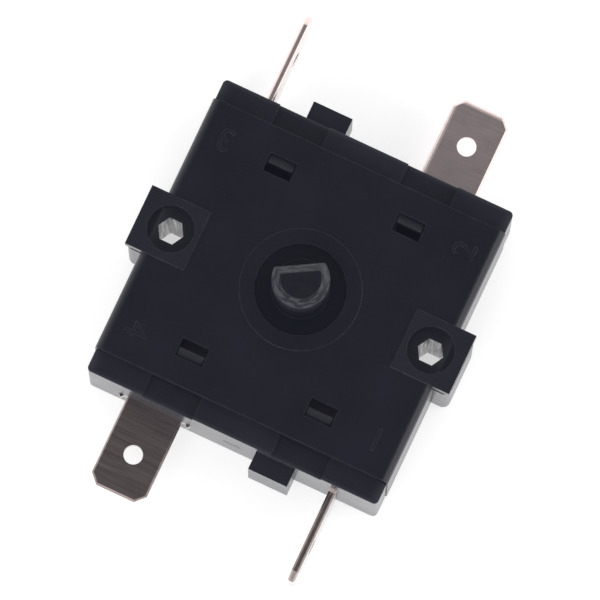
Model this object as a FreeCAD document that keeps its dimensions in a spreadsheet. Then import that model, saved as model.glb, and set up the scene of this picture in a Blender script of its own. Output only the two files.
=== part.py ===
import FreeCAD, Part
import math
import os

import Sketcher

# Rotary selector switch with a D-shaped shaft and four quick-connect tabs.
# Millimetres. The origin is on the shaft's axis at the resting face, +Z runs up the shaft,
# +Y points at the rear tabs and +X along the line of the two screw ears.

SIZES = [
    # Housing
    ("cover_half_x", 16.63, "half width of the cover across its skirts"),
    ("cover_half_y", 14.31, "half length of the cover plate"),
    ("cover_plate", 1.4, "thickness of the cover plate"),
    ("cover_edge_round", 1.0, "rounding of the cover's long top edges"),
    ("cover_gap", 0.05, "clearance between cover and base"),
    ("skirt_wall", 1.2, "thickness of the cover's side skirts"),
    ("skirt_lift", 0.7, "height of the skirts' lower edge above the resting face"),
    ("base_top", 11.8, "height of the base's rim"),
    ("end_inset", 0.15, "how far the end walls stay inside the cover's width"),
    ("ledge_width", 2.42, "strip of each end wall that the cover leaves bare"),
    ("rim_overlap", 1.31, "strip of each end wall under the cover plate"),
    ("side_wall", 1.98, "thickness of the base's side walls"),
    ("floor_wall", 1.8, "thickness of the base's floor"),
    ("base_corner_round", 0.5, "rounding of the base's upright corners"),
    # Screw ears
    ("screw_half_pitch", 14.76, "distance of each screw hole from the shaft's axis"),
    ("ear_outer_margin", 3.65, "ear beyond the screw hole's axis"),
    ("ear_inner_margin", 3.05, "cover ear inside the screw hole's axis"),
    ("ear_half_width", 3.34, "half width of an ear"),
    ("ear_proud", 0.18, "height of the cover's ears above the plate"),
    ("ear_corner_round", 0.8, "rounding of the base ears' upright corners"),
    ("ear_groove_height", 0.9, "height of the groove between a base ear and the cover's ear"),
    ("ear_groove_depth", 0.5, "depth of that groove"),
    ("screw_head_radius", 2.45, "radius of the screw head's recess"),
    ("hex_across_flats", 2.45, "six-sided screw hole across its flats"),
    ("ear_boss_wall", 1.0, "plastic between the screw hole and the cavity"),
    # Windows, snap hooks, notches and lugs
    ("window_x", 7.31, "distance of each window from the middle, along X"),
    ("window_setback", 3.7, "distance of each window's middle from the cover's end"),
    ("window_length", 3.0, "window along X"),
    ("window_width", 2.0, "window along Y"),
    ("window_ledge", 0.35, "step in the window that the hook holds"),
    ("catch_depth", 0.8, "depth of that step below the cover's top"),
    ("hook_wall", 0.6, "thickness of a snap hook's tongue"),
    ("hook_gap", 0.05, "clearance round a snap hook"),
    ("hook_side_gap", 0.15, "clearance beside a snap hook"),
    ("hook_root", 1.8, "height of a hook's root above the contact tracks"),
    ("notch_start", 4.45, "nearer side of each notch in the end walls"),
    ("notch_length", 5.7, "length of each notch"),
    ("notch_depth", 0.8, "depth of each notch"),
    ("lug_start", 2.84, "nearer side of each locating lug"),
    ("lug_length", 4.41, "length of a lug along the wall"),
    ("lug_proud", 2.02, "how far a lug stands out"),
    ("lug_bottom", 2.0, "height of a lug's lower face"),
    ("lug_height", 8.1, "height of a lug"),
    ("slit_length", 2.0, "length of the small slit in each end wall"),
    ("slit_width", 0.4, "width of that slit"),
    ("slit_depth", 0.5, "depth of that slit"),
    ("slit_height", 5.6, "height of that slit above the resting face"),
    # Bearing and shaft
    ("boss_radius", 6.35, "radius of the bearing boss"),
    ("boss_raise", 0.08, "height of the boss above the cover"),
    ("collar_depth", 1.05, "depth of the bearing collar below the cover plate"),
    ("journal_radius", 4.65, "radius of the rotor's journal"),
    ("journal_clearance", 0.07, "radial running clearance of the journal"),
    ("journal_sink", 0.2, "how far the journal's top lies below the cover's top"),
    ("axial_clearance", 0.05, "end play of the rotor at each bearing face"),
    ("shaft_radius", 3.0, "radius of the shaft"),
    ("shaft_length", 9.0, "length of the shaft above the cover plate"),
    ("shaft_flat", 1.5, "distance of the D's flat from the axis"),
    ("shaft_flat_length", 7.5, "length of the D's flat"),
    ("shaft_flat_direction", 120.0, "direction that the flat faces, from +X"),
    ("shaft_chamfer", 0.9, "chamfer of the shaft's tip"),
    # Rotor
    ("rotor_lift", 0.4, "gap between the tracks and the rotor's underside"),
    ("rotor_rim", 0.75, "plastic outside the bridge pockets at a detent valley"),
    ("valley_count", 12.0, "number of detent valleys"),
    ("valley_depth", 0.5, "depth of a detent valley"),
    ("valley_radius", 8.0, "radius of a detent valley's curve"),
    ("pivot_radius", 2.0, "radius of the lower pivot"),
    ("pivot_clearance", 0.05, "radial running clearance of the pivot"),
    ("pivot_wall", 1.55, "wall of the pivot's socket"),
    ("pivot_floor", 1.0, "plastic under the pivot's socket"),
    ("pivot_tip_gap", 0.1, "gap under the pivot's tip"),
    ("travel", 90.0, "turn of the shaft from stop to stop"),
    ("stop_direction", 45.0, "direction of the stop lug at rest"),
    ("stop_half_angle", 7.0, "half angle of the stop lug"),
    ("stop_height", 0.95, "height of the stop lug"),
    ("stop_width", 1.65, "radial width of the stop lug"),
    ("stop_inset", 0.05, "how far the stop lug stays inside the rotor's crests"),
    ("stop_play", 0.4, "angle left between lug and stop at each end"),
    ("stop_rib_half_angle", 3.0, "half angle of a stop rib"),
    ("stop_rib_gap", 0.15, "height left between the rotor and a stop rib"),
    # Detent
    ("ball_radius", 1.5, "radius of a detent ball"),
    ("ball_clearance", 0.05, "clearance round a ball in its guide"),
    ("crest_gap", 0.03, "gap between a ball and the crests"),
    ("ball_drop", 0.6, "height of the rotor's top above a ball"),
    ("guide_wall", 1.05, "wall of a ball guide"),
    ("guide_gap", 0.3, "radial gap between rotor and ball guide"),
    ("guide_rib_gap", 0.1, "clearance round the cover's rib in a guide"),
    ("spring_pocket_wall", 1.43, "end wall left behind a detent spring"),
    ("detent_wire", 0.35, "wire of a detent spring"),
    ("detent_turns", 3.5, "turns of a detent spring"),
    ("detent_spring_inset", 0.2, "how much thinner than its ball a detent spring is, per side"),
    ("spring_seat_gap", 0.03, "gap at each end of a spring"),
    # Terminals
    ("tab_width", 6.3, "width of a quick-connect tab"),
    ("tab_thickness", 0.8, "thickness of a quick-connect tab"),
    ("tab_corner", 1.0, "corner cut of a tab's tip, across the tab"),
    ("tab_corner_length", 1.05, "corner cut of a tab's tip, along the tab"),
    ("tab_hole_radius", 1.0, "radius of a tab's hole"),
    ("tab_hole_setback", 4.43, "distance of a tab's hole from its tip"),
    ("coin", 0.2, "coined bevel of a tab's edges"),
    ("flat_x", 8.8, "distance of the flat tabs from the middle"),
    ("flat_reach", 9.63, "length of the flat tabs outside the wall"),
    ("upright_x", 11.6, "distance of the upright tabs from the middle"),
    ("upright_reach", 10.36, "length of the upright tabs outside the wall"),
    ("shoulder_step", 0.95, "how much wider than the tab its shoulder is, per side"),
    ("barb_width", 0.6, "width of the pointed barb at each corner of a shoulder"),
    ("barb_length", 0.35, "length of that barb outside the wall"),
    ("shoulder_inset", 0.3, "wall left inside the shoulder"),
    ("slot_clearance", 0.03, "clearance round a terminal in the base"),
    ("neck_x", 6.9, "distance of the flat terminals' necks from the middle"),
    ("neck_width", 4.2, "width of the necks"),
    ("neck_end", 4.6, "where the necks end, from the middle"),
    ("strip_outer", 10.2, "outer side of the upright terminals' strips"),
    ("strip_width", 4.6, "width of the strips"),
    ("strip_end", 3.6, "where the strips end, from the middle"),
    ("bend_inner_radius", 0.4, "inner radius of the fold"),
    ("track_top", 4.6, "height of the contact tracks"),
    ("track_margin", 0.5, "track beside the sliding contacts, per side"),
    ("platform_rim", 0.5, "plastic beside the tracks, per side"),
    ("flat_track_start", -150.0, "start angle of a flat terminal's track"),
    ("flat_track_end", -95.0, "end angle of a flat terminal's track"),
    ("upright_track_start", -85.0, "start angle of an upright terminal's track"),
    ("upright_track_end", -22.0, "end angle of an upright terminal's track"),
    ("track_end_play", 0.3, "angle left at each end of a track"),
    # Sliding contacts
    ("contact_radius", 6.8, "distance of the contact buttons from the axis"),
    ("contact_spread", 23.0, "angle of each button from the middle of its bridge"),
    ("contact_gap", 0.05, "gap between buttons and tracks"),
    ("button_radius", 0.9, "radius of a contact button"),
    ("button_height", 0.5, "height of a contact button"),
    ("rivet_radius", 0.45, "radius of a button's shank"),
    ("rivet_gap", 0.02, "clearance round a shank"),
    ("bridge_thickness", 0.6, "thickness of a contact bridge"),
    ("bridge_half_width", 1.15, "half width of a contact bridge"),
    ("bridge_end_angle", 8.5, "angle from a button to the end of its bridge"),
    ("bridge_angle_a", -45.0, "direction of the first bridge at rest"),
    ("bridge_angle_b", 165.0, "direction of the second bridge at rest"),
    ("bridge_pocket_gap", 0.1, "clearance round a bridge in the rotor"),
    ("bridge_pocket_angle", 1.2, "angle left at each end of a bridge"),
    ("bridge_headroom", 0.35, "gap above a bridge in the rotor"),
    ("tongue_shift", 1.85, "distance of a bridge's tongue inside its buttons"),
    ("tongue_radius", 1.3, "radius of the tongue under the spring"),
    ("bridge_spring_radius", 1.1, "outer radius of a bridge spring"),
    ("bridge_wire", 0.3, "wire of a bridge spring"),
    ("bridge_turns", 4.0, "turns of a bridge spring"),
    ("spring_play", 0.15, "radial play of a bridge spring in its bore"),
    ("spring_roof", 0.7, "plastic above a bridge spring"),
]

QUARTER_TURN = 90
HALF_TURN = 180
FULL_TURN = 360
HEX_SIDES = 6
WIRE_SIDES = 5
RUNS_PER_TURN = 7
BOTH_ENDS = 2
OVERRUN = 0.5
NEARLY = 0.01

document = FreeCAD.newDocument("selector_switch")
sheet = document.addObject("Spreadsheet::Sheet", "Sizes")


class Size:
    """A length or angle with the expression that gives it and its present number."""

    def __init__(self, text, number):
        self.text = text
        self.number = number

    @staticmethod
    def of(value):
        return value if isinstance(value, Size) else Size(repr(float(value)), float(value))

    def __add__(self, other):
        other = Size.of(other)
        return Size(f"({self.text} + {other.text})", self.number + other.number)

    def __sub__(self, other):
        other = Size.of(other)
        return Size(f"({self.text} - {other.text})", self.number - other.number)

    def __mul__(self, other):
        other = Size.of(other)
        return Size(f"({self.text} * {other.text})", self.number * other.number)

    def __truediv__(self, other):
        other = Size.of(other)
        return Size(f"({self.text} / {other.text})", self.number / other.number)

    def __radd__(self, other):
        return Size.of(other) + self

    def __rsub__(self, other):
        return Size.of(other) - self

    def __neg__(self):
        return Size(f"(0 - {self.text})", -self.number)

    __rmul__ = __mul__


def cosine(angle):
    angle = Size.of(angle)
    return Size(f"cos({angle.text} * 1 deg)", math.cos(math.radians(angle.number)))


def sine(angle):
    angle = Size.of(angle)
    return Size(f"sin({angle.text} * 1 deg)", math.sin(math.radians(angle.number)))


class Table:
    """Every driving size of the sheet, by its name."""


def fill_sheet():
    table = Table()
    for row, (name, value, words) in enumerate(SIZES, start=1):
        sheet.set(f"A{row}", name)
        sheet.set(f"B{row}", str(value))
        sheet.set(f"C{row}", words)
        sheet.setAlias(f"B{row}", name)
        setattr(table, name, Size(f"Sizes.{name}", float(value)))
    document.recompute()
    return table


s = fill_sheet()

# Heights and places that several pieces share
cover_top = s.base_top + s.cover_plate
side_face = s.cover_half_x - s.skirt_wall - s.cover_gap
base_half_y = s.cover_half_y + s.ledge_width
cavity_half_x = side_face - s.side_wall
cavity_half_y = s.cover_half_y - s.rim_overlap
wall_middle = cavity_half_y + s.rim_overlap / 2
ear_reach = s.screw_half_pitch + s.ear_outer_margin
hex_corner = s.hex_across_flats / math.sqrt(3)
window_y = s.cover_half_y - s.window_setback
window_inner = window_y - s.window_width / 2
window_outer = window_y + s.window_width / 2
bore_radius = s.journal_radius + s.journal_clearance
collar_bottom = s.base_top - s.collar_depth
journal_top = cover_top - s.journal_sink
shaft_top = cover_top + s.shaft_length
rotor_bottom = s.track_top + s.rotor_lift
rotor_top = collar_bottom - s.axial_clearance
pocket_inner = s.contact_radius - s.bridge_half_width - s.bridge_pocket_gap
pocket_outer = s.contact_radius + s.bridge_half_width + s.bridge_pocket_gap
rotor_radius = pocket_outer + s.rotor_rim + s.valley_depth
valley_bottom = rotor_radius - s.valley_depth
stop_inner = rotor_radius - s.stop_width
button_bottom = s.track_top + s.contact_gap
bridge_bottom = button_bottom + s.button_height
bridge_top = bridge_bottom + s.bridge_thickness
pocket_top = bridge_top + s.bridge_headroom
tongue_place = s.contact_radius - s.tongue_shift
spring_bore = s.bridge_spring_radius + s.spring_play
spring_bore_top = rotor_top - s.spring_roof
track_bottom = s.track_top - s.tab_thickness
track_inner = s.contact_radius - s.button_radius - s.track_margin
track_outer = s.contact_radius + s.button_radius + s.track_margin
tab_height = s.track_top - s.tab_thickness / 2
ball_height = rotor_top - s.ball_radius - s.ball_drop
ball_place = rotor_radius + s.crest_gap + s.ball_radius
guide_half_width = s.ball_radius + s.ball_clearance
guide_face = rotor_radius + s.guide_gap
spring_pocket_end = base_half_y - s.spring_pocket_wall
barb_tip = base_half_y + s.barb_length
shoulder_end = cavity_half_y + s.shoulder_inset
hook_shelf = s.track_top + s.hook_root
strip_inner = s.strip_outer - s.strip_width
bend_outer_radius = s.bend_inner_radius + s.tab_thickness
bend_centre_x = s.upright_x + s.tab_thickness / 2 - bend_outer_radius
bend_centre_z = track_bottom + bend_outer_radius


class Piece:
    """One part body: sketches on its own origin planes, padded and cut one after another."""

    def __init__(self, name, turn=None):
        self.name = name
        self.body = document.addObject("PartDesign::Body", name)
        self.body.Label = name
        self.count = 0
        if turn is not None:
            turn = Size.of(turn)
            upright = FreeCAD.Vector(0, 0, 1)
            self.body.Placement = FreeCAD.Placement(
                FreeCAD.Vector(), FreeCAD.Rotation(upright, turn.number))
            self.body.setExpression("Placement.Rotation.Angle", f"{turn.text} * 1 deg")

    def origin_part(self, role):
        return [item for item in self.body.Origin.OriginFeatures if item.Role == role][0]

    def sketch(self, role, lift, turn=None):
        """A sketch on an origin plane, lifted along the plane's normal and turned about it."""
        self.count += 1
        drawing = self.body.newObject("Sketcher::SketchObject", f"{self.name}_sketch_{self.count}")
        drawing.AttachmentSupport = (self.origin_part(role), "")
        drawing.MapMode = "FlatFace"
        lift = Size.of(lift)
        turn = Size.of(turn or 0)
        drawing.AttachmentOffset = FreeCAD.Placement(
            FreeCAD.Vector(0, 0, lift.number),
            FreeCAD.Rotation(FreeCAD.Vector(0, 0, 1), turn.number))
        drawing.setExpression("AttachmentOffset.Base.z", lift.text)
        if turn.number:
            drawing.setExpression("AttachmentOffset.Rotation.Angle", f"{turn.text} * 1 deg")
        return drawing

    def feature(self, kind, drawing, length):
        self.count += 1
        item = self.body.newObject(f"PartDesign::{kind}", f"{self.name}_{kind}_{self.count}")
        item.Profile = drawing
        item.setExpression("Length", Size.of(length).text)
        return item

    def pad(self, drawing, length):
        """Adds material from the sketch along its normal."""
        return self.feature("Pad", drawing, length)

    def pocket(self, drawing, length):
        """Cuts material from the sketch against its normal."""
        return self.feature("Pocket", drawing, length)

    def slab(self, low, high, draw, *values, turn=None):
        """Pads a sketch between two heights."""
        drawing = self.sketch("XY_Plane", low, turn)
        draw(drawing, *values)
        return self.pad(drawing, Size.of(high) - low)

    def cut(self, low, high, draw, *values, turn=None):
        """Cuts a sketch's outline between two heights."""
        drawing = self.sketch("XY_Plane", high, turn)
        draw(drawing, *values)
        return self.pocket(drawing, Size.of(high) - low)

    def around(self, items, copies):
        """Repeats features round the Z axis."""
        self.count += 1
        pattern = self.body.newObject("PartDesign::PolarPattern", f"{self.name}_around_{self.count}")
        pattern.Originals = items
        pattern.Axis = (self.origin_part("Z_Axis"), [""])
        pattern.Angle = FULL_TURN
        pattern.setExpression("Occurrences", Size.of(copies).text)
        self.body.Tip = pattern
        return pattern

    def dress(self, kind, size, test):
        """Rounds or bevels the edges of the last feature that pass the test."""
        document.recompute()
        base = self.body.Tip
        names = [f"Edge{number}" for number, edge in enumerate(base.Shape.Edges, start=1) if test(edge)]
        if not names:
            raise RuntimeError(f"{self.name}: no edge to dress")
        self.count += 1
        item = self.body.newObject(f"PartDesign::{kind}", f"{self.name}_{kind}_{self.count}")
        item.Base = (base, names)
        item.setExpression("Radius" if kind == "Fillet" else "Size", Size.of(size).text)
        return item


def hold(drawing, rows):
    """Adds constraints; a row is the constraint's own values and a Size that drives it, or None."""
    first = drawing.ConstraintCount
    drawing.addConstraint([Sketcher.Constraint(*values, *([] if size is None else [size.number]))
                           for values, size in rows])
    for index, (values, size) in enumerate(rows, start=first):
        if size is not None:
            drawing.setExpression(f"Constraints[{index}]", size.text)


def polygon(drawing, points):
    """A closed outline of straight lines through points, each held by its two coordinates."""
    points = [(Size.of(x), Size.of(y)) for x, y in points]
    places = [FreeCAD.Vector(x.number, y.number, 0) for x, y in points]
    lines = [Part.LineSegment(places[i], places[(i + 1) % len(places)]) for i in range(len(places))]
    ids = drawing.addGeometry(lines, False)
    rows = [(("Coincident", ids[i], 2, ids[(i + 1) % len(ids)], 1), None) for i in range(len(ids))]
    rows += [(("DistanceX", ids[i], 1), points[i][0]) for i in range(len(ids))]
    rows += [(("DistanceY", ids[i], 1), points[i][1]) for i in range(len(ids))]
    hold(drawing, rows)


def rectangle(drawing, left, right, low, high):
    polygon(drawing, [(left, low), (right, low), (right, high), (left, high)])


def circle(drawing, x, y, radius):
    x, y, radius = Size.of(x), Size.of(y), Size.of(radius)
    centre = FreeCAD.Vector(x.number, y.number, 0)
    ring = drawing.addGeometry(Part.Circle(centre, FreeCAD.Vector(0, 0, 1), radius.number), False)
    hold(drawing, [(("DistanceX", ring, 3), x), (("DistanceY", ring, 3), y), (("Radius", ring), radius)])


def two_circles(drawing, inner, outer):
    circle(drawing, 0, 0, outer)
    circle(drawing, 0, 0, inner)


def sector(drawing, inner, outer, start, end, x=0, y=0):
    """A stretch of a flat ring between two angles, with its middle at x, y."""
    x, y = Size.of(x), Size.of(y)
    start, end = Size.of(start), Size.of(end)
    middle = FreeCAD.Vector(x.number, y.number, 0)
    arcs = []
    for radius in (inner, outer):
        whole = Part.Circle(middle, FreeCAD.Vector(0, 0, 1), radius.number)
        arc = Part.ArcOfCircle(whole, math.radians(start.number), math.radians(end.number))
        index = drawing.addGeometry(arc, False)
        arcs.append(index)
        hold(drawing, [(("DistanceX", index, 3), x), (("DistanceY", index, 3), y),
                       (("Radius", index), radius)])
        for end_of_arc, angle in ((1, start), (2, end)):
            if abs(math.sin(math.radians(angle.number))) > math.sqrt(0.5):
                hold(drawing, [(("DistanceX", index, end_of_arc), x + radius * cosine(angle))])
            else:
                hold(drawing, [(("DistanceY", index, end_of_arc), y + radius * sine(angle))])
    for end_of_arc, angle in ((1, start), (2, end)):
        ends = [FreeCAD.Vector(x.number + radius.number * math.cos(math.radians(angle.number)),
                               y.number + radius.number * math.sin(math.radians(angle.number)), 0)
                for radius in (inner, outer)]
        line = drawing.addGeometry(Part.LineSegment(*ends), False)
        hold(drawing, [(("Coincident", line, 1, arcs[0], end_of_arc), None),
                       (("Coincident", line, 2, arcs[1], end_of_arc), None)])


def hexagon(drawing, x, corner):
    """A six-sided outline with two corners on the X axis."""
    step = FULL_TURN / HEX_SIDES
    polygon(drawing, [(x + corner * cosine(step * k), corner * sine(step * k)) for k in range(HEX_SIDES)])


def upright_edge(edge):
    ends = [vertex.Point for vertex in edge.Vertexes]
    return len(ends) == 2 and ends[0].sub(ends[1]).cross(FreeCAD.Vector(0, 0, 1)).Length < 1e-6


def near(value, size):
    return abs(value - Size.of(size).number) < NEARLY


# Outlines of the metal inside the base, shared by the terminals and their slots

def flat_blade(drawing):
    """Tab, shoulder and neck of a flat terminal."""
    left = -s.flat_x - s.tab_width / 2
    right = -s.flat_x + s.tab_width / 2
    tip = -(base_half_y + s.flat_reach)
    neck_left = -s.neck_x - s.neck_width / 2
    neck_right = -s.neck_x + s.neck_width / 2
    far_left = left - s.shoulder_step
    far_right = right + s.shoulder_step
    polygon(drawing, [
        (left + s.tab_corner, tip), (right - s.tab_corner, tip), (right, tip + s.tab_corner_length),
        (right, -base_half_y), (far_right - s.barb_width, -base_half_y),
        (far_right - s.barb_width / 2, -barb_tip), (far_right, -base_half_y),
        (far_right, -shoulder_end), (neck_right, -shoulder_end), (neck_right, -s.neck_end),
        (neck_left, -s.neck_end), (neck_left, -shoulder_end), (far_left, -shoulder_end),
        (far_left, -base_half_y), (far_left + s.barb_width / 2, -barb_tip),
        (far_left + s.barb_width, -base_half_y), (left, -base_half_y), (left, tip + s.tab_corner_length)])


def upright_blade(drawing):
    """Side outline of an upright terminal's vertical leg, Y across and Z up."""
    low = tab_height - s.tab_width / 2
    high = tab_height + s.tab_width / 2
    tip = -(base_half_y + s.upright_reach)
    shoulder_high = high + s.shoulder_step
    polygon(drawing, [
        (tip, low + s.tab_corner), (tip + s.tab_corner_length, low), (-shoulder_end, low),
        (-shoulder_end, bend_centre_z), (-strip_inner, bend_centre_z), (-strip_inner, high),
        (-shoulder_end, high), (-shoulder_end, shoulder_high), (-base_half_y, shoulder_high),
        (-barb_tip, shoulder_high - s.barb_width / 2), (-base_half_y, shoulder_high - s.barb_width),
        (-base_half_y, high), (tip + s.tab_corner_length, high), (tip, high - s.tab_corner)])


def make_base():
    base = Piece("housing_base")
    half_x = s.cover_half_x - s.end_inset
    step_y = s.cover_half_y + s.cover_gap
    ear = s.ear_half_width
    boss_face = s.screw_half_pitch - hex_corner - s.ear_boss_wall
    floor = s.floor_wall
    base.slab(0, s.base_top, polygon, [
        (half_x, base_half_y), (half_x, step_y), (side_face, step_y), (side_face, ear),
        (ear_reach, ear), (ear_reach, -ear), (side_face, -ear), (side_face, -step_y),
        (half_x, -step_y), (half_x, -base_half_y), (-half_x, -base_half_y), (-half_x, -step_y),
        (-side_face, -step_y), (-side_face, -ear), (-ear_reach, -ear), (-ear_reach, ear),
        (-side_face, ear), (-side_face, step_y), (-half_x, step_y), (-half_x, base_half_y)])
    base.dress("Fillet", s.base_corner_round, lambda edge: upright_edge(edge)
               and near(abs(edge.Vertexes[0].Y), base_half_y))
    base.dress("Fillet", s.ear_corner_round, lambda edge: upright_edge(edge)
               and near(abs(edge.Vertexes[0].X), ear_reach))
    base.cut(floor, s.base_top, polygon, [
        (cavity_half_x, cavity_half_y), (cavity_half_x, ear), (boss_face, ear), (boss_face, -ear),
        (cavity_half_x, -ear), (cavity_half_x, -cavity_half_y), (-cavity_half_x, -cavity_half_y),
        (-cavity_half_x, -ear), (-boss_face, -ear), (-boss_face, ear), (-cavity_half_x, ear),
        (-cavity_half_x, cavity_half_y)])
    base.slab(floor, s.track_top, two_circles, track_inner - s.platform_rim, track_outer + s.platform_rim)
    socket = s.pivot_radius + s.pivot_clearance
    base.slab(floor, rotor_bottom - s.axial_clearance, circle, 0, 0, socket + s.pivot_wall)
    base.cut(s.pivot_floor, rotor_bottom, circle, 0, 0, socket)
    for sign in (-1, 1):
        base.cut(0, s.base_top, hexagon, sign * s.screw_half_pitch, hex_corner)
    base.around(ball_guide(base) + hook_blocks(base) + ear_groove(base) + wall_marks(base)
                + terminal_seats(base), BOTH_ENDS)
    return base


def ball_guide(base):
    """Block, channel and spring pocket of the front ball."""
    half = guide_half_width + s.guide_wall
    block = base.slab(s.floor_wall, s.base_top, rectangle, -half, half, -wall_middle, -guide_face)
    channel = base.cut(ball_height - guide_half_width, s.base_top, rectangle,
                       -guide_half_width, guide_half_width, -cavity_half_y, OVERRUN - guide_face)
    drawing = base.sketch("XZ_Plane", spring_pocket_end)
    circle(drawing, 0, ball_height, guide_half_width)
    pocket = base.pocket(drawing, spring_pocket_end - cavity_half_y + s.cover_gap)
    return [block, channel, pocket]


def hook_blocks(base):
    """Shelf and snap hook under each of the two front windows."""
    items = []
    half = s.window_length / 2 - s.hook_side_gap
    inner = window_outer - s.window_ledge - s.hook_gap - s.hook_wall
    outer = inner + s.hook_wall
    catch = cover_top - s.catch_depth
    nose = window_outer - s.hook_gap
    for sign in (-1, 1):
        middle = sign * s.window_x
        items.append(base.slab(s.floor_wall, hook_shelf, rectangle,
                               middle - half, middle + half, -wall_middle, -inner))
        drawing = base.sketch("YZ_Plane", middle - half)
        polygon(drawing, [
            (-inner, hook_shelf), (-inner, cover_top - s.hook_gap),
            (-inner - s.hook_wall / 3, cover_top - s.hook_gap),
            (-nose, catch + s.catch_depth / 2), (-nose, catch + s.hook_gap),
            (-outer, catch + s.hook_gap), (-outer, hook_shelf)])
        items.append(base.pad(drawing, 2 * half))
    return items


def ear_groove(base):
    """Shallow groove round the top of one ear, under the cover's ear."""
    ear = s.ear_half_width
    groove = s.ear_groove_depth
    return [base.cut(s.base_top - s.ear_groove_height, s.base_top, polygon, [
        (side_face, ear), (ear_reach, ear), (ear_reach, -ear), (side_face, -ear),
        (side_face, groove - ear), (ear_reach - groove, groove - ear),
        (ear_reach - groove, ear - groove), (side_face, ear - groove)])]


def wall_marks(base):
    """Notches, locating lug and slit of the front end wall."""
    items = []
    notch_end = s.notch_start + s.notch_length
    for near_x, far_x in ((s.notch_start, notch_end), (-notch_end, -s.notch_start)):
        items.append(base.cut(s.base_top - s.notch_depth, s.base_top, rectangle,
                              near_x, far_x, -base_half_y - OVERRUN, -cavity_half_y + s.cover_gap))
    items.append(base.slab(s.lug_bottom, s.lug_bottom + s.lug_height, rectangle,
                           s.lug_start, s.lug_start + s.lug_length,
                           -base_half_y - s.lug_proud, -base_half_y + OVERRUN))
    drawing = base.sketch("XZ_Plane", base_half_y)
    rectangle(drawing, -s.slit_length / 2, s.slit_length / 2,
              s.slit_height - s.slit_width / 2, s.slit_height + s.slit_width / 2)
    items.append(base.pocket(drawing, s.slit_depth))
    return items


def terminal_seats(base):
    """Supports and slots of the two front terminals."""
    gap = s.slot_clearance
    low = track_bottom - gap
    high = s.track_top + gap
    neck_left = -s.neck_x - s.neck_width / 2
    neck_right = -s.neck_x + s.neck_width / 2
    leg_left = s.upright_x - s.tab_thickness / 2 - gap
    leg_right = s.upright_x + s.tab_thickness / 2 + gap
    shoulder_half = s.tab_width / 2 + s.shoulder_step + gap
    blade_low = tab_height - s.tab_width / 2 - gap
    blade_high = tab_height + s.tab_width / 2 + s.shoulder_step + gap
    outside = -base_half_y - OVERRUN
    return [
        base.slab(s.floor_wall, low, rectangle, neck_left, neck_right, -wall_middle, -track_inner),
        base.slab(s.floor_wall, low, rectangle, s.strip_end, bend_centre_x, -s.strip_outer, -strip_inner),
        base.cut(low, high, rectangle, -s.flat_x - shoulder_half, -s.flat_x + shoulder_half,
                 outside, gap - cavity_half_y),
        base.cut(low, high, rectangle, neck_left - gap, neck_right + gap, -shoulder_end, gap - s.neck_end),
        base.cut(low, high, sector, track_inner - gap, track_outer + gap,
                 s.flat_track_start - s.track_end_play, s.flat_track_end + s.track_end_play),
        base.cut(low, high, rectangle, s.strip_end - gap, bend_centre_x + gap,
                 -s.strip_outer - gap, gap - strip_inner),
        base.cut(low, high, sector, track_inner - gap, track_outer + gap,
                 s.upright_track_start - s.track_end_play, s.upright_track_end + s.track_end_play),
        base.cut(blade_low, blade_high, rectangle, leg_left, leg_right, outside, gap - cavity_half_y),
    ]


def make_cover():
    cover = Piece("housing_cover")
    half_x, half_y = s.cover_half_x, s.cover_half_y
    slot = s.ear_half_width + s.cover_gap
    cover.slab(s.base_top, cover_top, rectangle, -half_x, half_x, -half_y, half_y)
    skirts = []
    for low, high in ((-half_y, -slot), (slot, half_y)):
        skirts.append(cover.slab(s.skirt_lift, s.base_top, rectangle,
                                 half_x - s.skirt_wall, half_x, low, high))
    cover.around(skirts, BOTH_ENDS)
    cover.dress("Fillet", s.cover_edge_round, lambda edge: near(edge.BoundBox.ZMin, cover_top)
                and near(abs(edge.CenterOfMass.x), half_x))
    cover.slab(collar_bottom, cover_top + s.boss_raise, circle, 0, 0, s.boss_radius)
    ear_inner = s.screw_half_pitch - s.ear_inner_margin
    ears = cover.slab(s.base_top, cover_top + s.ear_proud, rectangle, ear_inner, ear_reach,
                      -s.ear_half_width, s.ear_half_width)
    recess = cover.cut(s.base_top, cover_top + s.ear_proud, circle, s.screw_half_pitch, 0,
                       s.screw_head_radius)
    cover.around([ears, recess], BOTH_ENDS)
    cover.cut(collar_bottom, cover_top + s.boss_raise, circle, 0, 0, bore_radius)
    windows = []
    step = window_outer - s.window_ledge
    for sign in (-1, 1):
        left = sign * s.window_x - s.window_length / 2
        right = sign * s.window_x + s.window_length / 2
        windows.append(cover.cut(s.base_top, cover_top, rectangle, left, right, -step, -window_inner))
        windows.append(cover.cut(cover_top - s.catch_depth, cover_top, rectangle,
                                 left, right, -window_outer, -window_inner))
    rib_half = guide_half_width - s.guide_rib_gap
    rib = cover.slab(ball_height + guide_half_width, s.base_top, rectangle, -rib_half, rib_half,
                     s.guide_rib_gap - cavity_half_y, -guide_face - s.guide_rib_gap)
    cover.around(windows + [rib], BOTH_ENDS)
    reach = s.stop_half_angle + s.stop_play + s.stop_rib_half_angle
    for middle in (s.stop_direction + reach, s.stop_direction - s.travel - reach):
        cover.slab(rotor_top + s.stop_rib_gap, s.base_top, sector, stop_inner, rotor_radius,
                   -s.stop_rib_half_angle, s.stop_rib_half_angle, turn=middle)
    return cover


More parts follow.
